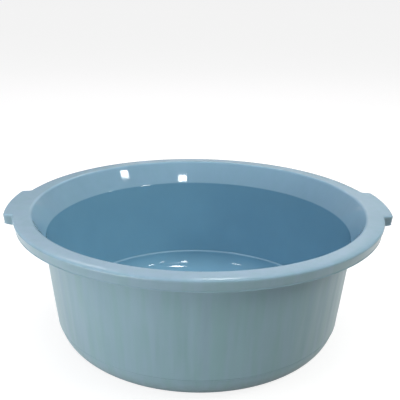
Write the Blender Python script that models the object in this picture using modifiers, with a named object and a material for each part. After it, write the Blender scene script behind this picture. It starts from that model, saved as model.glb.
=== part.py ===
# Round plastic basin with two tab handles, in metres, +Z up.
# The origin is the centre of the underside, and the handles lie along X.
# The basin is one moulding. Each of its zones is a closed solid here, and the
# zones meet on shared faces: floor, base curve, side wall, flare, rim, handles.

import math

import bmesh
import bpy

# Overall height, and the depth of the shoulder below the top
HEIGHT = 0.150
SHOULDER_DEPTH = 0.0265

# Inside of the bowl at the side wall's foot, and how far it widens from there up
FOOT_RADIUS = 0.157
FOOT_HEIGHT = 0.0267
WALL_SPREAD = 0.0105
FLARE_SPREAD = 0.014
RIM_WIDTH = 0.0185

# Thicknesses of the moulding
WALL_THICKNESS = 0.0018
FLOOR_THICKNESS = 0.002
FLANGE_THICKNESS = 0.0018

# Ledge between the base curve and the side wall, on the inside
BASE_LEDGE = 0.0008

# Rim, a flat flange with a turned-down skirt outside and a short turn-down inside
SKIRT_DEPTH = 0.0125
SKIRT_THICKNESS = 0.0018
SKIRT_LEAN = 0.0025
SKIRT_LIP_RADIUS = 0.0007
RIM_EDGE_RADIUS = 0.0024
MOUTH_EDGE_RADIUS = 0.0042
MOUTH_DEPTH = 0.005

# Handles, each a hollow tab that carries the flange outwards
HANDLE_REACH = 0.0095
HANDLE_ROOT_WIDTH = 0.088
HANDLE_TIP_WIDTH = 0.083
HANDLE_DEPTH = 0.011
HANDLE_WALL = 0.0018
HANDLE_CORNER_RADIUS = 0.005

# Where a handle is set into the rim
JOINT_CLEARANCE = 0.0003
CUTTER_OVERRUN = 0.002

# Points closer than this are one point
MERGE_DISTANCE = 0.00001

# Fineness of the round shapes. An odd handle count keeps its arc's points off the rim's seam.
TURN_STEPS = 72
CURVE_STEPS = 6
EDGE_STEPS = 3
LIP_STEPS = 2
HANDLE_ARC_STEPS = 11

# Angle above which an edge is a corner, and the share that makes a bevel round
CORNER_ANGLE = math.radians(35)
ROUND_BEVEL_SHARE = 0.5

# Colours of the moulding as the zones show them, in linear RGB
SHELL_COLOUR = (0.190, 0.330, 0.420, 1.0)
RIM_COLOUR = (0.250, 0.400, 0.490, 1.0)
PLASTIC_ROUGHNESS = 0.30

# Heights and radii that follow from the sizes above
flange_underside = HEIGHT - FLANGE_THICKNESS
flare_top_height = HEIGHT - MOUTH_DEPTH
shoulder_height = HEIGHT - SHOULDER_DEPTH
shoulder_radius = FOOT_RADIUS + WALL_SPREAD
mouth_radius = shoulder_radius + FLARE_SPREAD
rim_radius = mouth_radius + RIM_WIDTH
handle_seat_radius = rim_radius - SKIRT_THICKNESS - SKIRT_LEAN - JOINT_CLEARANCE

# The side wall's angle from upright, and the base curve that ends along it
wall_angle = math.atan2(WALL_SPREAD, shoulder_height - FOOT_HEIGHT)
wall_across = WALL_THICKNESS / math.cos(wall_angle)
curve_radius = (FOOT_HEIGHT - FLOOR_THICKNESS) / (1 - math.sin(wall_angle))
curve_top_radius = FOOT_RADIUS - BASE_LEDGE
floor_radius = curve_top_radius - curve_radius * math.cos(wall_angle)

# The flare's angle from level, and its wall measured level
flare_angle = math.atan2(SHOULDER_DEPTH, FLARE_SPREAD)
flare_across = WALL_THICKNESS / math.sin(flare_angle)


def flare_radius(height):
    """The radius of the flare's inner face at a height."""
    return shoulder_radius + (height - shoulder_height) / math.tan(flare_angle)


def arc(centre, radius, start, end, steps):
    """Points of an arc about (r, z), with angles from the outward direction."""
    angles = [start + (end - start) * i / steps for i in range(steps + 1)]
    return [(centre[0] + radius * math.cos(a), centre[1] + radius * math.sin(a)) for a in angles]


def clear_scene():
    for obj in list(bpy.data.objects):
        bpy.data.objects.remove(obj, do_unlink=True)


def make_collection(name):
    collection = bpy.data.collections.new(name)
    bpy.context.scene.collection.children.link(collection)
    return collection


def make_plastic(name, colour):
    material = bpy.data.materials.new(name)
    material.use_nodes = True
    shader = material.node_tree.nodes["Principled BSDF"]
    shader.inputs["Base Color"].default_value = colour
    shader.inputs["Roughness"].default_value = PLASTIC_ROUGHNESS
    shader.inputs["Metallic"].default_value = 0.0
    material.diffuse_color = colour
    return material


def add_object(name, mesh, collection, material=None):
    obj = bpy.data.objects.new(name, mesh)
    collection.objects.link(obj)
    if material:
        mesh.materials.append(material)
    return obj


def evaluated_mesh(obj):
    """A new mesh of an object as its curve settings or its modifiers make it."""
    bpy.context.view_layer.update()
    evaluated = obj.evaluated_get(bpy.context.evaluated_depsgraph_get())
    return bpy.data.meshes.new_from_object(evaluated)


def shade_round(mesh):
    mesh.shade_smooth()
    mesh.set_sharp_from_angle(angle=CORNER_ANGLE)


def turned(name, profile, closed, collection, material):
    """Turn a profile of (r, z) points about the Z axis with a Screw modifier."""
    line = bpy.data.meshes.new(name + "_profile")
    points = [(r, 0, z) for r, z in profile]
    edges = [(i, i + 1) for i in range(len(points) - 1)]
    if closed:
        edges.append((len(points) - 1, 0))
    line.from_pydata(points, edges, [])
    obj = add_object(name, line, collection, material)
    screw = obj.modifiers.new("turn", "SCREW")
    screw.axis = "Z"
    screw.angle = math.tau
    screw.steps = TURN_STEPS
    screw.render_steps = TURN_STEPS
    screw.use_merge_vertices = True
    screw.merge_threshold = MERGE_DISTANCE

    obj.data = evaluated_mesh(obj)
    obj.data.name = name
    obj.modifiers.clear()
    bpy.data.meshes.remove(line)
    shade_round(obj.data)
    return obj


def plate(name, outline, low, high, collection, material=None):
    """Extrude a flat closed outline of (x, y) points between two heights."""
    curve = bpy.data.curves.new(name, "CURVE")
    curve.dimensions = "2D"
    curve.fill_mode = "BOTH"
    curve.extrude = (high - low) / 2
    spline = curve.splines.new("POLY")
    spline.points.add(len(outline) - 1)
    for point, (x, y) in zip(spline.points, outline):
        point.co = (x, y, 0, 1)
    spline.use_cyclic_u = True
    flat = add_object(name + "_outline", curve, collection)
    mesh = evaluated_mesh(flat)
    mesh.name = name
    bpy.data.objects.remove(flat, do_unlink=True)

    bm = bmesh.new()
    bm.from_mesh(mesh)
    bmesh.ops.remove_doubles(bm, verts=bm.verts, dist=MERGE_DISTANCE)
    bmesh.ops.translate(bm, verts=bm.verts, vec=(0, 0, (low + high) / 2))
    bmesh.ops.recalc_face_normals(bm, faces=bm.faces)
    bm.to_mesh(mesh)
    bm.free()
    mesh.materials.clear()
    return add_object(name, mesh, collection, material)


def cut(obj, cutter):
    """Take a cutter out of a piece and keep the cutter as a wire guide."""
    boolean = obj.modifiers.new("cut_" + cutter.name, "BOOLEAN")
    boolean.operation = "DIFFERENCE"
    boolean.solver = "EXACT"
    boolean.object = cutter
    cutter.hide_render = True
    cutter.display_type = "WIRE"


def floor_profile():
    return [
        (0, FLOOR_THICKNESS),
        (floor_radius, FLOOR_THICKNESS),
        (floor_radius, 0),
        (0, 0),
    ]


def base_curve_profile():
    """A quarter curve of the floor's thickness, cut level where the wall stands."""
    centre = (floor_radius, FLOOR_THICKNESS + curve_radius)
    outer_radius = curve_radius + FLOOR_THICKNESS
    top_angle = -math.asin((centre[1] - FOOT_HEIGHT) / outer_radius)
    outer = arc(centre, outer_radius, top_angle, -math.pi / 2, CURVE_STEPS)
    inner = arc(centre, curve_radius, -math.pi / 2, -wall_angle, CURVE_STEPS)
    return outer + inner


def side_wall_profile():
    return [
        (shoulder_radius + flare_across, shoulder_height),
        (FOOT_RADIUS + wall_across, FOOT_HEIGHT),
        (FOOT_RADIUS, FOOT_HEIGHT),
        (shoulder_radius, shoulder_height),
    ]


def flare_profile():
    top_radius = flare_radius(flare_top_height)
    return [
        (top_radius + flare_across, flare_top_height),
        (shoulder_radius + flare_across, shoulder_height),
        (shoulder_radius, shoulder_height),
        (top_radius, flare_top_height),
    ]


def rim_profile():
    """The flange, its skirt and its inner turn-down, with rounded edges."""
    edge_centre = (rim_radius - RIM_EDGE_RADIUS, HEIGHT - RIM_EDGE_RADIUS)
    outer_edge = arc(edge_centre, RIM_EDGE_RADIUS, math.pi / 2, 0, EDGE_STEPS)

    lip_outer = rim_radius - SKIRT_LEAN
    lip_inner = lip_outer - SKIRT_THICKNESS
    lip_height = HEIGHT - SKIRT_DEPTH
    outer_lip_centre = (lip_outer - SKIRT_LIP_RADIUS, lip_height + SKIRT_LIP_RADIUS)
    inner_lip_centre = (lip_inner + SKIRT_LIP_RADIUS, lip_height + SKIRT_LIP_RADIUS)
    lip = arc(outer_lip_centre, SKIRT_LIP_RADIUS, 0, -math.pi / 2, LIP_STEPS)
    lip += arc(inner_lip_centre, SKIRT_LIP_RADIUS, -math.pi / 2, -math.pi, LIP_STEPS)

    underside = [
        (rim_radius - SKIRT_THICKNESS, flange_underside),
        (flare_radius(flange_underside) + flare_across, flange_underside),
        (flare_radius(flare_top_height) + flare_across, flare_top_height),
        (flare_radius(flare_top_height), flare_top_height),
    ]

    tangent = MOUTH_EDGE_RADIUS * math.tan(flare_angle / 2)
    mouth_centre = (mouth_radius + tangent, HEIGHT - MOUTH_EDGE_RADIUS)
    start = math.pi / 2 + flare_angle
    mouth_edge = arc(mouth_centre, MOUTH_EDGE_RADIUS, start, math.pi / 2, EDGE_STEPS)
    return outer_edge + lip + underside + mouth_edge


def handle_outline(seat_radius, tip_radius, inset):
    """A handle seen from above: a seat arc, two ends that narrow, a round-cornered tip.

    A positive inset draws the outline inwards on the ends and the tip.
    """
    root_half = HANDLE_ROOT_WIDTH / 2 - inset
    tip_half = HANDLE_TIP_WIDTH / 2 - inset
    radius = tip_radius - inset
    corner = HANDLE_CORNER_RADIUS - inset

    root = (math.sqrt(seat_radius ** 2 - root_half ** 2), root_half)
    tip = (math.sqrt(radius ** 2 - tip_half ** 2), tip_half)
    length = math.dist(root, tip)
    along = ((tip[0] - root[0]) / length, (tip[1] - root[1]) / length)
    inward = (along[1], -along[0])

    # The corner's centre is one corner radius inside both the end and the tip arc.
    base = (root[0] + inward[0] * corner, root[1] + inward[1] * corner)
    middle = base[0] * along[0] + base[1] * along[1]
    spare = (radius - corner) ** 2 - (base[0] ** 2 + base[1] ** 2 - middle ** 2)
    reach = math.sqrt(spare) - middle
    centre = (base[0] + along[0] * reach, base[1] + along[1] * reach)

    tip_angle = math.atan2(centre[1], centre[0])
    end_angle = math.atan2(-inward[1], -inward[0])
    seat_angle = math.atan2(root[1], root[0])
    seat = arc((0, 0), seat_radius, seat_angle, -seat_angle, HANDLE_ARC_STEPS)
    tip_arc = arc((0, 0), radius, -tip_angle, tip_angle, HANDLE_ARC_STEPS)
    corner_arc = arc(centre, corner, tip_angle, end_angle, EDGE_STEPS)
    mirrored = [(x, -y) for x, y in reversed(corner_arc)]
    return seat + mirrored + tip_arc[1:-1] + corner_arc


def round_top_edge(obj, seat_radius):
    """Round the top edge of a handle, but not where it meets the rim."""
    bm = bmesh.new()
    bm.from_mesh(obj.data)
    seat_limit = seat_radius + JOINT_CLEARANCE
    edges = []
    for edge in bm.edges:
        at_top = all(abs(v.co.z - HEIGHT) < JOINT_CLEARANCE for v in edge.verts)
        at_seat = all(math.hypot(v.co.x, v.co.y) < seat_limit for v in edge.verts)
        if at_top and not at_seat and edge.calc_face_angle(0) > CORNER_ANGLE:
            edges.append(edge)
    bmesh.ops.bevel(
        bm,
        geom=edges,
        offset=RIM_EDGE_RADIUS,
        segments=EDGE_STEPS,
        profile=ROUND_BEVEL_SHARE,
        affect="EDGES",
    )
    bm.to_mesh(obj.data)
    bm.free()


def make_handle(name, turn, parts, cutters, material):
    """One hollow tab: a plate level with the flange and a skirt on its three free sides."""
    tip_radius = rim_radius + HANDLE_REACH
    low = HEIGHT - HANDLE_DEPTH
    seat = handle_seat_radius + JOINT_CLEARANCE
    tab = plate(name, handle_outline(seat, tip_radius, 0), low, HEIGHT, parts, material)
    round_top_edge(tab, seat)
    shade_round(tab.data)
    tab.rotation_euler.z = turn

    pocket_outline = handle_outline(seat - CUTTER_OVERRUN, tip_radius, HANDLE_WALL)
    pocket_low = low - CUTTER_OVERRUN
    pocket = plate(name + "_pocket", pocket_outline, pocket_low, flange_underside, cutters)
    pocket.rotation_euler.z = turn
    cut(tab, pocket)


def make_handle_slot(name, turn, cutters):
    """The cutter that clears the rim for a handle, one clearance wider than the tab."""
    far = rim_radius + HANDLE_REACH + CUTTER_OVERRUN
    outline = handle_outline(handle_seat_radius, far, -JOINT_CLEARANCE)
    low = HEIGHT - SKIRT_DEPTH - CUTTER_OVERRUN
    slot = plate(name, outline, low, HEIGHT + CUTTER_OVERRUN, cutters)
    slot.rotation_euler.z = turn
    return slot


def make_basin():
    clear_scene()
    parts = make_collection("plastic_basin")
    cutters = make_collection("cutters")
    shell_zones = (
        ("floor", floor_profile(), False),
        ("base_curve", base_curve_profile(), True),
        ("side_wall", side_wall_profile(), True),
        ("flare", flare_profile(), True),
    )
    for name, profile, closed in shell_zones:
        turned(name, profile, closed, parts, make_plastic(name + "_plastic", SHELL_COLOUR))

    rim = turned("rim", rim_profile(), True, parts, make_plastic("rim_plastic", RIM_COLOUR))
    for side, turn in (("right", 0.0), ("left", math.pi)):
        cut(rim, make_handle_slot("slot_" + side, turn, cutters))
        name = "handle_" + side
        make_handle(name, turn, parts, cutters, make_plastic(name + "_plastic", RIM_COLOUR))


make_basin()
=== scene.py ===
import math

import bpy
import numpy as np
from mathutils import Matrix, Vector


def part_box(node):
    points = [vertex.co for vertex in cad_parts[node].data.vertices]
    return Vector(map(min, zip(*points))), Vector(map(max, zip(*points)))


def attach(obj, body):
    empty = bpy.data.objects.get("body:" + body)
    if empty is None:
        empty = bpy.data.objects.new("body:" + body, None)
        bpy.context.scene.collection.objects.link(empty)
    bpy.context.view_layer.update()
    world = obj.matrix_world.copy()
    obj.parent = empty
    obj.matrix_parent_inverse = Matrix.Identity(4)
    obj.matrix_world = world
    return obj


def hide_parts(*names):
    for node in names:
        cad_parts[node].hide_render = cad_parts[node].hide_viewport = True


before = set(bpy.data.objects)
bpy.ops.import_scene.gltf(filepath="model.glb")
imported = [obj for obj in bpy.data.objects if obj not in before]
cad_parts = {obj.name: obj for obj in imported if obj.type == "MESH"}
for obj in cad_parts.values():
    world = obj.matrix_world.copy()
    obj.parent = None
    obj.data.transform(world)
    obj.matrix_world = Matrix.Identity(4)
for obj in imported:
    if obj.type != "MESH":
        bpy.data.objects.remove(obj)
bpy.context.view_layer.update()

# Sizes that the frame already holds, in metres
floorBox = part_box("floor")
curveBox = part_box("base_curve")
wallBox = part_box("side_wall")
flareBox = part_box("flare")
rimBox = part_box("rim")
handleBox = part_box("handle_right")

topZ = rimBox[1].z
rimRadius = rimBox[1].y
floorTopZ = floorBox[1].z
floorRadius = floorBox[1].x
footZ = curveBox[1].z
shoulderZ = wallBox[1].z
flareTopZ = flareBox[1].z
print("frame read")


# Helpers that make and join lines of points

def points(*pairs):
    return np.array(pairs, dtype=float)


def arc(centre, radius, start, end, steps):
    # centre + radius (cos a, sin a), with a in even steps from start to end.
    a = np.linspace(start, end, steps + 1)
    return np.asarray(centre) + radius * np.stack([np.cos(a), np.sin(a)], -1)


def filleted(line, radii, steps):
    # A polyline whose inner corners become arcs that are tangent to both sides. An arc's
    # centre lies on the corner's bisector, radius / sin(half the corner's angle) away.
    rows = [line[:1]]
    for before, corner, after, radius in zip(line[:-2], line[1:-1], line[2:], radii):
        a = (before - corner) / np.linalg.norm(before - corner)
        b = (after - corner) / np.linalg.norm(after - corner)
        half = math.acos(np.clip(a @ b, -1, 1)) / 2
        centre = corner + (a + b) / np.linalg.norm(a + b) * radius / math.sin(half)
        start = corner + a * radius / math.tan(half) - centre
        end = corner + b * radius / math.tan(half) - centre
        sweep = math.atan2(start[0] * end[1] - start[1] * end[0], start @ end)
        first = math.atan2(start[1], start[0])
        rows.append(arc(centre, radius, first, first + sweep, steps))
    rows.append(line[-1:])
    return np.concatenate(rows)


def divided(line, longest):
    # The same polyline with no stretch longer than the given length.
    rows = []
    for a, b in zip(line[:-1], line[1:]):
        count = max(1, math.ceil(np.linalg.norm(b - a) / longest))
        rows.append(a + (b - a) * np.arange(count)[:, None] / count)
    rows.append(line[-1:])
    return np.concatenate(rows)


def smoothStep(x):
    # From 0 to 1 with level ends: 3 x squared less 2 x cubed.
    x = np.clip(x, 0, 1)
    return x * x * (3 - 2 * x)


# Helpers that turn grids of points into meshes

def gridFaces(rows, columns, closed):
    # Quads between neighbours on a grid whose rows go round, and whose columns may too.
    i = np.arange(rows)[:, None]
    j = np.arange(columns if closed else columns - 1)[None, :]
    iNext = (i + 1) % rows
    jNext = (j + 1) % columns
    corners = (i * columns + j, i * columns + jNext, iNext * columns + jNext, iNext * columns + j)
    return np.stack(corners, -1).reshape(-1, 4)


def makePiece(name, vertices, faces, insideShare, cornerAngle=30):
    # The inside share, 1 on the glossy inside and 0 outside, goes to the plastic by its name.
    mesh = bpy.data.meshes.new(name)
    mesh.from_pydata(vertices, [], faces)
    mesh.shade_smooth()
    mesh.set_sharp_from_angle(angle=math.radians(cornerAngle))
    layer = mesh.attributes.new("insideShare", "FLOAT", "POINT")
    layer.data.foreach_set("value", insideShare.astype(np.float32))
    piece = bpy.data.objects.new(name, mesh)
    bpy.context.scene.collection.objects.link(piece)
    return piece


def turned(name, profile, inside, shape=None, poles=False):
    # A profile of (r, z), clockwise with r to the right, turned about Z:
    # x = r cos(phi), y = r sin(phi). shape(phi, z) is added to r on the outside. With poles,
    # the profile's first and last points lie on the axis, and each becomes one vertex.
    around = bowl["around"]
    phi = np.arange(around)[:, None] * math.tau / around
    body = slice(1, -1) if poles else slice(None)
    z = np.tile(profile[body, 1], (around, 1))
    share = np.tile(inside[body], (around, 1))
    r = np.tile(profile[body, 0], (around, 1))
    if shape:
        r = r + shape(phi, z) * (1 - share)
    grid = np.stack([r * np.cos(phi), r * np.sin(phi), z], -1).reshape(-1, 3)
    share = share.reshape(-1)
    columns = z.shape[1]
    faces = gridFaces(around, columns, not poles).tolist()
    if poles:
        start = np.arange(around) * columns
        end = np.roll(start, -1)
        top = np.full(around, len(grid))
        faces += np.stack([top, start, end], -1).tolist()
        faces += np.stack([top + 1, end + columns - 1, start + columns - 1], -1).tolist()
        grid = np.concatenate([grid, [[0, 0, profile[0, 1]], [0, 0, profile[-1, 1]]]])
        share = np.concatenate([share, inside[[0, -1]]])
    return makePiece(name, grid, faces, share)


def ringProfile(inner, outer):
    # The inner line upwards, then the outer line downwards, and each point's inside share,
    # which falls to the band's share above the shoulder and, as a painted highlight, to a paler share on
    # the ledge.
    line = np.concatenate([inner, outer[::-1]])
    high = smoothStep((inner[:, 1] - shoulderZ) / bowl["bandBlend"] + 0.5)
    # Painted highlight: the ledge takes a paler share than the wall around it.
    ledgeHighlight = np.abs(inner[:, 1] - footZ) < bowl["ledgeSlope"] * bowl["ledgeHighlightSpread"]
    share = 1.0 + (bowl["bandShare"] - 1.0) * high + (bowl["ledgeHighlightShare"] - 1.0) * ledgeHighlight
    return line, np.concatenate([share, np.zeros(len(outer))])


# The bowl's zones, turned about the Z axis

bowl = {
    "wallThickness": 0.0018,
    "ledge": 0.0013,            # the wall's foot stands this far outside the base curve's top
    "ledgeSlope": 0.0016,       # height over which the ledge rises
    "ledgeHighlightShare": 0.75,         # inside share of the ledge, paler than the wall: a painted highlight
    "ledgeHighlightSpread": 0.52,        # the painted highlight's half height, as a share of the ledge's slope
    "ledgeFootRound": 0.00018,
    "ledgeRound": 0.0003,
    "footRound": 0.00032,       # outer edge of the wall's foot
    "grooveRise": 0.0013,       # a fine groove goes round the outside, this far above the foot
    "grooveHeight": 0.0009,
    "grooveDepth": 0.0002,
    "grooveRound": 0.0001,
    "grooveRows": (-0.5, -0.2, 0.2, 0.5),   # in groove heights from its middle
    "grooveCuts": (0, 1, 1, 0),             # in groove depths
    "shoulderRound": 0.0040,    # inside
    "shoulderOuterRound": 0.0055,
    "seamStep": 0.0030,         # pieces join this far from a bend, where the wall is straight
    "bandShare": 0.75,          # inside share of the flare, 1 below it and 0.5 on the rim
    "bandBlend": 0.0016,
    "around": 1080,             # steps round the bowl, then steps along its section
    "insideSteps": 28,
    "outsideSteps": 20,
    "wallRows": 22,
    "roundSteps": 12,
    "ledgeSteps": 6,
    "fineSteps": 3,
    "flareStep": 0.005,
}

wallTopRadius = wallBox[1].x
flareSlope = (flareBox[1].x - wallTopRadius) / (flareTopZ - shoulderZ)
flareAcross = bowl["wallThickness"] * math.hypot(1, flareSlope)
shoulderRadius = wallTopRadius - flareAcross

# The base curve is an arc of a circle that touches the ground at the floor's edge
curveReach = curveBox[1].x - floorRadius
curveOuterRound = (curveReach ** 2 + footZ ** 2) / (2 * footZ)
curveRound = curveOuterRound - floorTopZ
wallLean = math.asin(np.clip((curveOuterRound - footZ) / curveRound, -1, 1))
curveTopRadius = floorRadius + curveRound * math.cos(wallLean)
footRadius = curveTopRadius + bowl["ledge"]
wallSlope = (shoulderRadius - footRadius) / (shoulderZ - footZ)
wallAcross = bowl["wallThickness"] * math.hypot(1, wallSlope)


# The radii at a height, each a straight line in z

def wallInner(z):
    return footRadius + (z - footZ) * wallSlope


def wallOuter(z):
    foot = footRadius + wallAcross
    return foot + (z - footZ) * (wallTopRadius - foot) / (shoulderZ - footZ)


def flareInner(z):
    return shoulderRadius + (z - shoulderZ) * flareSlope


gate = {
    "radius": 0.0045,
    "depth": 0.0004,
    "nub": 0.0011,              # radius of the nub's top
    "round": 0.0001,
    "step": 0.012,              # longest face across the floor
}


def makeFloor():
    # Two flat discs. The lower one has a round dish in its middle, the gate mark, with a nub
    # half as high as the dish is deep.
    edge = floorRadius - bowl["seamStep"]
    deep = gate["depth"]
    top = divided(points((0, floorTopZ), (edge, floorTopZ)), gate["step"])
    corners = points(
        (edge, 0), (gate["radius"], 0), (gate["radius"] - deep, deep),
        (gate["nub"] + deep / 2, deep), (gate["nub"], deep / 2), (0, deep / 2))
    under = divided(filleted(corners, [gate["round"]] * 4, bowl["fineSteps"]), gate["step"])
    line = np.concatenate([top, under])
    return turned("floor_disc", line, np.repeat([1.0, 0.0], [len(top), len(under)]), poles=True)


def makeBaseCurve():
    # Inside: flat, arc, ledge as a small rounded step, foot of the wall. Outside: flat, a
    # larger arc about the same centre, edge of the wall's foot, groove.
    high = footZ + bowl["seamStep"]
    low = floorRadius - bowl["seamStep"]
    centre = (floorRadius, curveOuterRound)
    ledgeLow = footZ - bowl["ledgeSlope"] / 2
    ledgeHigh = footZ + bowl["ledgeSlope"] / 2
    topAngle = -math.asin((curveOuterRound - ledgeLow) / curveRound)
    inner = arc(centre, curveRound, -math.pi / 2, topAngle, bowl["insideSteps"])
    step = points((wallInner(ledgeHigh), ledgeHigh), (wallInner(high), high))
    step = np.concatenate([inner[-2:], step])
    step = filleted(step, [bowl["ledgeFootRound"], bowl["ledgeRound"]], bowl["ledgeSteps"])
    inner = np.concatenate([points((low, floorTopZ)), inner[:-2], step])
    footAngle = -math.asin((curveOuterRound - footZ) / curveOuterRound)
    outer = arc(centre, curveOuterRound, -math.pi / 2, footAngle, bowl["outsideSteps"])
    grooveZ = footZ + bowl["grooveRise"] + bowl["grooveHeight"] * np.array(bowl["grooveRows"])
    grooveR = wallOuter(grooveZ) - bowl["grooveDepth"] * np.array(bowl["grooveCuts"])
    edge = np.concatenate([
        outer[-1:], points((wallOuter(footZ), footZ)), np.stack([grooveR, grooveZ], -1),
        points((wallOuter(high), high))])
    rounds = [bowl["footRound"]] + [bowl["grooveRound"]] * len(grooveZ)
    outer = np.concatenate([points((low, 0)), outer[:-1], filleted(edge, rounds, bowl["fineSteps"])])
    return turned("base_curve_ring", *ringProfile(inner, outer))


flutes = {
    "counts": (43, 52, 71, 113, 19),    # waves round the wall
    "depths": (0.00009, 0.00008, 0.00004, 0.00002, 0.00010),
    "starts": (0.9, 2.6, 1.3, 2.1, 0.4),
    "fade": 0.012,
}


def fluteDepth(phi, z):
    # Sine waves round the wall, of unlike counts, so that no two flutes look the same.
    # They fade out by a smooth step towards the shoulder and the foot.
    rows = zip(flutes["counts"], flutes["depths"], flutes["starts"])
    wave = sum(depth * np.sin(count * phi + start) for count, depth, start in rows)
    low = footZ + bowl["seamStep"]
    high = shoulderZ - bowl["seamStep"]
    fade = smoothStep((z - low) / flutes["fade"]) * smoothStep((high - z) / flutes["fade"])
    return wave * fade


def makeSideWall():
    # Two straight leaning lines from the foot up to just below the shoulder, the outer one fluted.
    z = np.linspace(footZ + bowl["seamStep"], shoulderZ - bowl["seamStep"], bowl["wallRows"])
    inner = np.stack([wallInner(z), z], -1)
    outer = np.stack([wallOuter(z), z], -1)
    return turned("side_wall_ring", *ringProfile(inner, outer), shape=fluteDepth)


def makeFlare():
    # The top of the wall, the round shoulder and the flare up to the rim.
    low = shoulderZ - bowl["seamStep"]
    top = flareInner(flareTopZ)
    inner = points((wallInner(low), low), (shoulderRadius, shoulderZ), (top, flareTopZ))
    outer = points((wallOuter(low), low), (wallTopRadius, shoulderZ), (top + flareAcross, flareTopZ))
    inner = filleted(inner, [bowl["shoulderRound"]], bowl["roundSteps"])
    outer = filleted(outer, [bowl["shoulderOuterRound"]], bowl["roundSteps"])
    inner = divided(inner, bowl["flareStep"])
    outer = divided(outer, bowl["flareStep"])
    return turned("flare_ring", *ringProfile(inner, outer))


floorDisc = makeFloor()
baseCurveRing = makeBaseCurve()
sideWallRing = makeSideWall()
flareRing = makeFlare()
print("bowl made")


# The rim with its two handles, one surface

rim = {
    "flangeThickness": 0.0018,
    "flangeShare": 0.5,         # the flange's inside share
    "skirtThickness": 0.0018,
    "skirtLean": 0.0025,        # the skirt's bottom stands this far inside its top
    "skirtLip": 0.0005,
    "skirtShare": 0.2,          # the skirt's inside share, between the wall's 0 and the flange's
    "skirtRows": (0.35, 0.7),   # places down the skirt's outer face, then up its inner face
    "skirtInnerRows": (0.6, 0.3),
    "bead": 0.0004,             # the skirt's bottom edge flares out by this much
    "beadRise": 0.0008,
    "edgeRound": 0.0020,
    "edgeBlend": 3,             # the shares blend over one part in this many of the edge's arc
    "crownWidth": 0.0060,       # the flange's outer part falls away gently over this width
    "crownDrop": 0.0004,
    "crownFade": 0.02,          # it fades out over this length towards each handle
    "mouthRound": 0.0040,
    "mouthBlend": 1.6,
    "underRound": 0.0012,
    "underLean": 0.1,           # the part of the skirt's lean that lies above the round
    "underMiddle": 0.25,        # the inner round's middle point, in rounds below the flange
    "handleTipHalf": 0.0415,    # half the tip's width
    "handleCorner": 0.0050,
    "handleRootRound": 0.0025,
    "handleLean": 0.0010,
    "handleStep": 0.001,        # longest face along the handle's end
    "tipSteps": 24,             # steps along the outline's arcs, then round the section
    "cornerSteps": 14,
    "rootSteps": 12,
    "circleSteps": 150,
    "crownSteps": 5,
    "roundSteps": 11,
    "beadSteps": 8,
    "bendSteps": 4,
    "underSteps": 5,
    "flangeSteps": 6,
}


def rimOutline():
    # A quarter of the outline seen from above: the handle's tip arc, its round corner, its
    # straight end, the hollow round at its root, then the rim's circle as far as the Y axis.
    # The rest is mirrored. Returns points, outward normals and each point's handle share.
    tipRadius = handleBox[1].x
    corner = rim["handleCorner"]
    hollow = rim["handleRootRound"]
    root = points((handleBox[0].x, handleBox[1].y))[0]
    tip = points((math.sqrt(tipRadius ** 2 - rim["handleTipHalf"] ** 2), rim["handleTipHalf"]))[0]
    along = (tip - root) / np.linalg.norm(tip - root)
    outward = np.array([-along[1], along[0]])

    def onEnd(offset, radius):
        # The point at an offset from the straight end's line and a radius from the axis.
        base = root + outward * offset
        middle = base @ along
        return base + along * (math.sqrt(radius ** 2 - base @ base + middle ** 2) - middle)

    def turn(centre, radius, start, end, steps, side=1):
        spread = arc((0, 0), 1, start, end, steps)
        return centre + radius * spread, side * spread

    cornerCentre = onEnd(-corner, tipRadius - corner)
    hollowCentre = onEnd(hollow, rimRadius + hollow)
    tipAngle = math.atan2(cornerCentre[1], cornerCentre[0])
    endAngle = math.atan2(outward[1], outward[0])
    rootAngle = math.atan2(hollowCentre[1], hollowCentre[0])
    tipArc = turn(np.zeros(2), tipRadius, 0, tipAngle, rim["tipSteps"])
    cornerArc = turn(cornerCentre, corner, tipAngle, endAngle, rim["cornerSteps"])
    hollowArc = turn(hollowCentre, hollow, endAngle - math.pi, rootAngle - math.pi, rim["rootSteps"], -1)
    circleArc = turn(np.zeros(2), rimRadius, rootAngle, math.pi / 2, rim["circleSteps"])
    straight = divided(np.stack([cornerArc[0][-1], hollowArc[0][0]]), rim["handleStep"])[1:-1]
    line = np.concatenate([tipArc[0], cornerArc[0][1:], straight, hollowArc[0], circleArc[0][1:]])
    normals = np.concatenate(
        [tipArc[1], cornerArc[1][1:], np.tile(outward, (len(straight), 1)), hollowArc[1], circleArc[1][1:]])
    handle = smoothStep((np.linalg.norm(line, axis=1) - rimRadius) / (tipRadius - rimRadius))
    mirror = np.array([-1.0, 1.0])
    line = np.concatenate([line, line[-2::-1] * mirror])
    normals = np.concatenate([normals, normals[-2::-1] * mirror])
    handle = np.concatenate([handle, handle[-2::-1]])[:, None]
    return (
        np.concatenate([line, -line[1:-1]]),
        np.concatenate([normals, -normals[1:-1]]),
        np.concatenate([handle, handle[1:-1]]))


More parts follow.
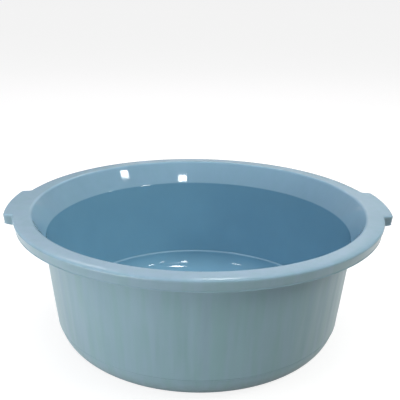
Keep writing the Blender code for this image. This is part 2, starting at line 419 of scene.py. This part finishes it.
def makeRim():
    # One section carried along the outline. On the outer side a section's point is the
    # outline's point less its normal times an inset, and on the bowl's side it lies on a circle.
    line, normals, handle = rimOutline()
    direction = line / np.linalg.norm(line, axis=1)[:, None]
    depth = (topZ - rimBox[0].z) * (1 - handle) + (topZ - handleBox[0].z) * handle
    lean = rim["skirtLean"] * (1 - handle) + rim["handleLean"] * handle
    edge = rim["edgeRound"]
    away = smoothStep((np.abs(line[:, 1:]) - handleBox[1].y) / rim["crownFade"])
    crown = rim["crownDrop"] * away
    crownWidth = rim["crownWidth"] * away + rim["handleCorner"] / 2 * (1 - away)
    crownSlope = np.arctan(2 * crown / crownWidth)
    edgeReach = edge * (1 - np.sin(crownSlope))
    edgeDrop = crown + edge * np.cos(crownSlope)
    flangeShare = rim["flangeShare"]
    skirtShare = rim["skirtShare"] * (1 - handle) + flangeShare * handle
    lip = rim["skirtLip"]
    bead = rim["bead"]
    thick = rim["skirtThickness"]
    under = rim["flangeThickness"]
    bend = rim["underRound"]
    columns = []
    shares = []

    def add(xy, z, share):
        columns.append(np.concatenate([xy, z * np.ones((len(line), 1))], 1))
        shares.append((share * np.ones((len(line), 1)))[:, 0])

    def fromOutline(inset, drop, share=0.0):
        add(line - normals * inset, topZ - drop, share)

    def onCircle(radius, z, share=0.0):
        add(direction * radius, z, share)

    def across(first, last, steps, share):
        for part in np.arange(1, steps) / steps:
            add((first * (1 - part) + last * part)[:, :2], first[0, 2], share)

    # The crown is a parabola, drop = crown * part squared, and the edge's arc goes on from it.
    for part in np.arange(rim["crownSteps"]) / rim["crownSteps"]:
        fromOutline(edgeReach + crownWidth * (1 - part), crown * part ** 2, flangeShare)
    for part in np.linspace(1, 0, rim["roundSteps"] + 1):
        a = (math.pi / 2 - crownSlope) * part
        share = skirtShare + (flangeShare - skirtShare) * smoothStep(part * rim["edgeBlend"])
        fromOutline(edge - edge * np.cos(a), edgeDrop - edge * np.sin(a), share)
    for part in rim["skirtRows"]:
        fromOutline(lean * part, edgeDrop + (depth - lip - edgeDrop) * part, skirtShare)
    fromOutline(lean, depth - lip - rim["beadRise"], skirtShare)
    half = (thick + bead) / 2
    for a in np.linspace(0, math.pi, rim["beadSteps"] + 1):
        fromOutline(lean - bead + half - half * math.cos(a), depth - lip + lip * math.sin(a), skirtShare)
    for part in rim["skirtInnerRows"]:
        fromOutline(lean * part + thick, under + (depth - under) * part)
    bendInset = thick + lean * rim["underLean"] + bend
    for a in np.linspace(0, math.pi / 2, rim["bendSteps"] + 1):
        fromOutline(bendInset - bend * math.cos(a), under + bend - bend * math.sin(a))
    underZ = topZ - under
    innerBend = flareInner(underZ) + flareAcross + bend
    first = columns[-1]
    across(first, np.concatenate([direction * innerBend, first[:, 2:]], 1), rim["underSteps"], 0.0)
    onCircle(innerBend, underZ)
    onCircle(innerBend - bend * (1 - rim["underMiddle"]), underZ - bend * rim["underMiddle"])
    onCircle(flareInner(underZ - bend) + flareAcross, underZ - bend)
    onCircle(flareInner(flareTopZ) + flareAcross, flareTopZ)
    band = bowl["bandShare"]
    onCircle(flareInner(flareTopZ), flareTopZ, band)
    flareAngle = math.atan2(1, flareSlope)
    mouth = rim["mouthRound"]
    mouthCentre = flareInner(topZ) + mouth * math.tan(flareAngle / 2)
    for part in np.linspace(1, 0, rim["roundSteps"] + 1):
        a = math.pi / 2 + flareAngle * part
        share = flangeShare + (band - flangeShare) * smoothStep(rim["mouthBlend"] * part)
        onCircle(mouthCentre + mouth * math.cos(a), topZ - mouth + mouth * math.sin(a), share)
    across(columns[-1], columns[0], rim["flangeSteps"], flangeShare)
    grid = np.stack(columns, 1).reshape(-1, 3)
    faces = gridFaces(len(line), len(columns), True).tolist()
    return makePiece("rim_with_handles", grid, faces, np.stack(shares, 1).reshape(-1), 40)


rimWithHandles = makeRim()
print("rim and handles made")


# Shader maths: arithmetic on a Link adds Math nodes, and every other node comes from NodeTree.add

class Link:
    def __init__(self, owner, socket):
        self.owner = owner
        self.socket = socket

    def math(self, operation, first, second):
        return self.owner.add("ShaderNodeMath", {"operation": operation}, {0: first, 1: second})

    def __add__(self, other):
        return self.math("ADD", self, other)

    def __radd__(self, other):
        return self.math("ADD", other, self)

    def __sub__(self, other):
        return self.math("SUBTRACT", self, other)

    def __rsub__(self, other):
        return self.math("SUBTRACT", other, self)

    def __mul__(self, other):
        return self.math("MULTIPLY", self, other)

    def __rmul__(self, other):
        return self.math("MULTIPLY", other, self)


class NodeTree:
    def __init__(self, block):
        block.use_nodes = True
        self.tree = block.node_tree
        self.tree.nodes.clear()

    def add(self, kind, settings, sockets, output=0):
        node = self.tree.nodes.new(kind)
        for key, value in settings.items():
            if key == "stops":
                self.setStops(node.color_ramp, value)
            else:
                setattr(node, key, value)
        for key, value in sockets.items():
            if isinstance(value, Link):
                self.tree.links.new(value.socket, node.inputs[key])
            else:
                node.inputs[key].default_value = value
        return Link(self, node.outputs[output]) if node.outputs else None

    def setStops(self, ramp, stops):
        for _ in stops[2:]:
            ramp.elements.new(0.5)
        for element, (place, colour) in zip(ramp.elements, stops):
            element.position = place
            element.color = (*colour, 1)


plastic = {
    # The outside's warmer tone is partly the plastic's own and partly painted light, standing for warm
    # light from the room.
    "outside": (0.235, 0.378, 0.428),
    "flange": (0.250, 0.390, 0.474),
    # The band's colour is paler and greyer than the inside's: a painted sheen.
    "band": (0.240, 0.400, 0.508),
    "inside": (0.178, 0.370, 0.500),
    "outsideRoughness": 0.36,
    "rimRoughness": 0.16,
    "insideRoughness": 0.025,
    "ior": 1.49,
    "mottleScale": 18,
    "mottleDetail": 3.0,
    "mottleDark": (0.96, 0.96, 0.97),
    "mottlePale": (1.03, 1.02, 1.02),
    "mottleSpread": (0.3, 0.7),
    "mottleRoughness": 0.03,
    "flowScale": 120,           # upright flow marks on the outside
    "flowDetail": 2.0,
    "flowStretch": (1.0, 1.0, 0.025),
    "streakGreen": (0.945, 0.985, 0.95),
    "streakBlue": (1.055, 1.012, 1.058),
    "streakSpread": (0.35, 0.65),
    # The groove's darker tint is painted shade, standing for the shadow in the recess.
    "grooveShade": (0.5, 0.52, 0.55, 1),
    "grooveShadeShare": 0.2,          # how much of the painted shade's tint the groove takes
    "grooveShadeSpread": (0.3, 0.8),  # in groove heights from its middle
    "grainScale": 1400,
    "grainDetail": 2.0,
    "grainDepth": 0.00002,
    "grainStrength": 0.35,
}


def makePlastic():
    # Colour and roughness follow the inside share: the outside at 0, then the flange, the
    # band and the inside at 1. Flow marks, the groove's painted shade and grain fade out towards the
    # inside.
    material = bpy.data.materials.new("basinPlastic")
    tree = NodeTree(material)

    def noise(name, vector):
        sockets = {"Vector": vector, "Scale": plastic[name + "Scale"], "Detail": plastic[name + "Detail"]}
        return tree.add("ShaderNodeTexNoise", {}, sockets, "Fac")

    def ramp(value, places, *colours):
        return tree.add("ShaderNodeValToRGB", {"stops": tuple(zip(places, colours))}, {"Fac": value})

    def tinted(amount, colour, tint):
        settings = {"data_type": "RGBA", "blend_type": "MULTIPLY"}
        return tree.add("ShaderNodeMix", settings, {0: amount, 6: colour, 7: tint}, 2)

    def mapped(value, fromMin, fromMax, toMin, toMax, kind="LINEAR"):
        return tree.add(
            "ShaderNodeMapRange", {"interpolation_type": kind},
            {"Value": value, "From Min": fromMin, "From Max": fromMax, "To Min": toMin, "To Max": toMax})

    place = tree.add("ShaderNodeTexCoord", {}, {}, "Object")
    inside = tree.add("ShaderNodeAttribute", {"attribute_name": "insideShare"}, {}, "Fac")
    outside = 1 - inside
    flange = rim["flangeShare"]
    band = bowl["bandShare"]
    body = ramp(
        inside, (0.0, flange, band, 1.0),
        plastic["outside"], plastic["flange"], plastic["band"], plastic["inside"])
    mottle = noise("mottle", place)
    tint = ramp(mottle, plastic["mottleSpread"], plastic["mottleDark"], plastic["mottlePale"])
    tall = tree.add("ShaderNodeMapping", {}, {"Vector": place, "Scale": plastic["flowStretch"]}, "Vector")
    flow = noise("flow", tall)
    streak = ramp(flow, plastic["streakSpread"], plastic["streakGreen"], plastic["streakBlue"])
    height = tree.add("ShaderNodeSeparateXYZ", {}, {"Vector": place}, "Z")
    # Painted shade: on the outside the colour darkens towards the groove's middle.
    grooveZ = footZ + bowl["grooveRise"]
    offGroove = tree.add("ShaderNodeMath", {"operation": "ABSOLUTE"}, {0: height - grooveZ})
    near, far = (bowl["grooveHeight"] * share for share in plastic["grooveShadeSpread"])
    grooveShade = mapped(offGroove, near, far, plastic["grooveShadeShare"], 0.0, "SMOOTHSTEP")
    colour = tinted(1.0, body, tint)
    colour = tinted(outside, colour, streak)
    colour = tinted(grooveShade * outside, colour, plastic["grooveShade"])

    gloss = mapped(inside, flange, band, plastic["rimRoughness"], plastic["insideRoughness"])
    satin = mapped(inside, 0.0, flange, plastic["outsideRoughness"] - plastic["rimRoughness"], 0.0)
    rough = gloss + satin + (mottle - 0.5) * plastic["mottleRoughness"]
    grain = noise("grain", place) * outside
    bump = tree.add(
        "ShaderNodeBump", {},
        {"Strength": plastic["grainStrength"], "Distance": plastic["grainDepth"], "Height": grain})
    shader = tree.add(
        "ShaderNodeBsdfPrincipled", {},
        {"Base Color": colour, "Roughness": rough, "Normal": bump, "IOR": plastic["ior"]})
    tree.add("ShaderNodeOutputMaterial", {}, {"Surface": shader})
    return material


basinPlastic = makePlastic()
zones = (
    (floorDisc, ("floor",)),
    (baseCurveRing, ("base_curve",)),
    (sideWallRing, ("side_wall",)),
    (flareRing, ("flare",)),
    (rimWithHandles, ("rim", "handle_right", "handle_left")),
)
for piece, nodes in zones:
    piece.data.materials.append(basinPlastic)
    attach(piece, "root")
    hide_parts(*nodes)
print("plastic made")


# The ground that the basin stands on, the light and the camera

ground = {
    "rings": (0.5, 2.0, 6.0),   # radii of the rings of points inside the disc's edge
    "radius": 18.0,
    "rise": 1.4,                # height and width of the edge's sweep
    "sweep": 3.0,
    "sweepSteps": 8,
    "around": 96,
    "gap": 0.0004,              # it lies this far below the basin
    "glow": 0.84,
    "matt": (0.30, 0.30, 0.30, 1),
    "bounce": (0.21, 0.23, 0.22),
    "contactShadowWidth": 0.045,           # width of the painted contact shadow round the foot
}


def makeGround():
    # A flat disc whose edge sweeps up as a low backdrop: z = rise * (share of the sweep) squared.
    # Cameras see it white, with the basin's shadow; reflections see it white too, with a painted shadow
    # round the foot. To all other rays it is grey, darkened by the same painted shadow.
    around = ground["around"]
    share = np.linspace(0, 1, ground["sweepSteps"] + 1)
    r = np.concatenate([ground["rings"], ground["radius"] + ground["sweep"] * share])
    z = np.concatenate([np.zeros(len(ground["rings"])), ground["rise"] * share ** 2]) - ground["gap"]
    phi = np.arange(around)[:, None] * math.tau / around
    grid = np.stack([r * np.cos(phi), r * np.sin(phi), z + 0 * phi], -1).reshape(-1, 3)
    starts = np.arange(around) * len(r)
    faces = gridFaces(around, len(r), False).tolist() + [starts.tolist()]
    mesh = bpy.data.meshes.new("ground")
    mesh.from_pydata(grid, [], faces)
    mesh.shade_smooth()
    sheet = bpy.data.objects.new("ground", mesh)
    bpy.context.scene.collection.objects.link(sheet)
    material = bpy.data.materials.new("groundWhite")
    tree = NodeTree(material)
    kinds = ("Is Camera Ray", "Is Glossy Ray", "Is Transmission Ray")
    camera, glossy, through = (tree.add("ShaderNodeLightPath", {}, {}, kind) for kind in kinds)
    seen = tree.add("ShaderNodeMath", {"operation": "MINIMUM"}, {0: camera + glossy + through, 1: 1.0})
    place = tree.add("ShaderNodeTexCoord", {}, {}, "Object")
    reach = tree.add("ShaderNodeVectorMath", {"operation": "LENGTH"}, {0: place}, "Value")
    # Painted shadow: near the foot, the glow that reflections see and the grey bounce both fade to dark.
    clear = tree.add(
        "ShaderNodeMapRange", {"interpolation_type": "SMOOTHSTEP"},
        {"Value": reach, "From Min": floorRadius, "From Max": floorRadius + ground["contactShadowWidth"]})
    lit = camera + (1 - camera) * clear
    glow = tree.add("ShaderNodeEmission", {}, {"Strength": lit * ground["glow"]})
    matt = tree.add("ShaderNodeBsdfDiffuse", {}, {"Color": ground["matt"]})
    white = tree.add("ShaderNodeAddShader", {}, {0: glow, 1: matt})
    shaded = tree.add(
        "ShaderNodeVectorMath", {"operation": "SCALE"}, {0: ground["bounce"], "Scale": clear}, "Vector")
    bounce = tree.add("ShaderNodeBsdfDiffuse", {}, {"Color": shaded})
    mixed = tree.add("ShaderNodeMixShader", {}, {0: seen, 1: bounce, 2: white})
    tree.add("ShaderNodeOutputMaterial", {}, {"Surface": mixed})
    mesh.materials.append(material)


room = {
    "right": (0.15, 0.15, 0.15),
    "left": (0.15, 0.15, 0.15),
    "back": (0.30, 0.30, 0.30),
    "front": (0.15, 0.15, 0.15),
    "above": (0.20, 0.20, 0.20),
}


def makeRoom():
    # The light that comes from a direction is the sum of five colours, each times the square
    # of the direction's part along its own axis, so that the walls and the ceiling blend.
    world = bpy.data.worlds.new("softRoom")
    bpy.context.scene.world = world
    tree = NodeTree(world)
    direction = tree.add("ShaderNodeTexCoord", {}, {}, "Generated")
    axes = {
        "right": (1, 0, 0), "left": (-1, 0, 0), "back": (0, 1, 0), "front": (0, -1, 0), "above": (0, 0, 1)}
    light = (0.0, 0.0, 0.0)
    for name, axis in axes.items():
        dot = {"operation": "DOT_PRODUCT"}
        part = tree.add("ShaderNodeVectorMath", dot, {0: direction, 1: axis}, "Value")
        part = tree.add("ShaderNodeMath", {"operation": "MAXIMUM"}, {0: part, 1: 0.0})
        tint = tree.add(
            "ShaderNodeVectorMath", {"operation": "SCALE"}, {0: room[name], "Scale": part * part}, "Vector")
        light = tree.add("ShaderNodeVectorMath", {"operation": "ADD"}, {0: light, 1: tint}, "Vector")
    lit = tree.add("ShaderNodeBackground", {}, {"Color": light, "Strength": 1.0})
    tree.add("ShaderNodeOutputWorld", {}, {"Surface": lit})


# Each lamp: azimuth clockwise from +Y and elevation, both in degrees and seen from the
# basin's top, then distance, width, height, roll with its right side up, watts and colour.
# Soft lamps show in no reflection. The far ones at the end are windows that show in
# reflections alone: a glint does on every piece, the others on the one piece named last.
lamps = {
    "leftCard": (227, -2, 1.2, 1.1, 0.25, 0, 8.7, (1.0, 0.97, 0.97), "both"),
    "backCard": (0, -2, 1.2, 1.1, 0.25, 0, 7.0, (1.0, 1.0, 1.0), "soft"),
    "ceiling": (180, 86, 1.7, 1.3, 1.3, 0, 24.3, (0.98, 0.97, 1.0), "soft"),
    "backBox": (354, 31, 2.2, 2.2, 0.8, 0, 2.6, (1.0, 0.80, 0.90), "both"),
    "rightWindow": (110, 35, 2.0, 1.0, 0.8, 0, 13.7, (0.98, 1.0, 0.94), "soft"),
    "frontWindow": (175, 38, 2.0, 1.0, 0.8, 0, 1.8, (0.90, 1.0, 0.85), "soft"),
    "leftWindow": (240, 30, 2.0, 1.0, 0.8, 0, 6.4, (0.84, 0.87, 1.0), "soft"),
    "rightGlint": (114.6, 34.0, 20, 1.9, 0.40, 14, 75, (1.0, 1.0, 1.0), "flare_ring"),
    "frontGlint": (166.2, 39.2, 20, 2.1, 0.42, 4, 100, (1.0, 1.0, 1.0), "flare_ring"),
    "highPane": (165.3, 51, 20, 1.4, 2.6, 0, 220, (1.0, 1.0, 1.0), "base_curve_ring"),
    "skylight": (134.5, 75, 20, 1.7, 4.0, 0, 600, (1.0, 1.0, 1.0), "base_curve_ring"),
    "sidePane": (127.5, 46.5, 20, 2.0, 1.0, -30, 150, (1.0, 1.0, 1.0), "base_curve_ring"),
    "cornerPane": (142.5, 43, 20, 1.3, 0.8, -40, 60, (1.0, 1.0, 1.0), "base_curve_ring"),
    "farPane": (225, 44, 20, 2.8, 1.0, 0, 150, (1.0, 1.0, 1.0), "base_curve_ring"),
    "ringPane": (157, 56.5, 20, 4.4, 0.8, 0, 90, (1.0, 0.93, 0.95), "base_curve_ring"),
    "backPane": (5.5, 38.6, 20, 1.6, 1.1, 0, 85, (1.0, 1.0, 1.0), "glint"),
    "backLeftPane": (346, 32.5, 20, 2.4, 1.0, 0, 36, (1.0, 1.0, 1.0), "glint"),
    "backWall": (14, 18, 20, 14.0, 3.5, 0, 75, (1.0, 0.98, 0.98), "glint"),
    "shoulderPane": (136, 10, 20, 2.6, 5.0, 0, 1400, (1.0, 1.0, 1.0), "flare_ring"),
    "sideLowPane": (103.5, 11, 20, 1.2, 5.0, 0, 800, (1.0, 1.0, 1.0), "flare_ring"),
}


def addLamp(name, azimuth, elevation, distance, width, height, roll, watts, colour, kind):
    data = bpy.data.lights.new(name, "AREA")
    data.shape = "RECTANGLE"
    data.size = width
    data.size_y = height
    data.energy = watts
    data.color = colour
    lamp = bpy.data.objects.new(name, data)
    turn = Matrix.Rotation(math.radians(180 - azimuth), 4, "Z")
    tilt = Matrix.Rotation(math.radians(90 - elevation), 4, "X")
    spin = Matrix.Rotation(math.radians(-roll), 4, "Z")
    far = Matrix.Translation((0, 0, distance))
    lamp.matrix_world = Matrix.Translation((0, 0, topZ)) @ turn @ tilt @ far @ spin
    lamp.visible_camera = False
    lamp.visible_glossy = kind != "soft"
    lamp.visible_diffuse = kind in ("both", "soft")
    if kind in bpy.data.objects:
        shown = bpy.data.collections.new(name + "Shows")
        shown.objects.link(bpy.data.objects[kind])
        lamp.light_linking.receiver_collection = shown
    bpy.context.scene.collection.objects.link(lamp)


# The camera's place in metres, its angles in degrees, its lens and sensor in millimetres
view = {
    "place": (-0.02238, -0.65888, 0.36810),
    "heading": -2.035,
    "pitch": 18.061,
    "roll": 0.978,
    "lens": 56.126,
    "sensor": 36,
}


def makeCamera():
    data = bpy.data.cameras.new("viewpoint")
    data.sensor_width = view["sensor"]
    data.lens = view["lens"]
    camera = bpy.data.objects.new("viewpoint", data)
    turn = Matrix.Rotation(math.radians(view["heading"]), 4, "Z")
    tilt = Matrix.Rotation(math.radians(90 - view["pitch"]), 4, "X")
    roll = Matrix.Rotation(math.radians(view["roll"]), 4, "Z")
    camera.matrix_world = Matrix.Translation(view["place"]) @ turn @ tilt @ roll
    bpy.context.scene.collection.objects.link(camera)
    bpy.context.scene.camera = camera


makeGround()
makeRoom()
for lampName, values in lamps.items():
    addLamp(lampName, *values)
makeCamera()
bpy.context.scene.view_settings.view_transform = "Standard"
print("ground, light and camera set")
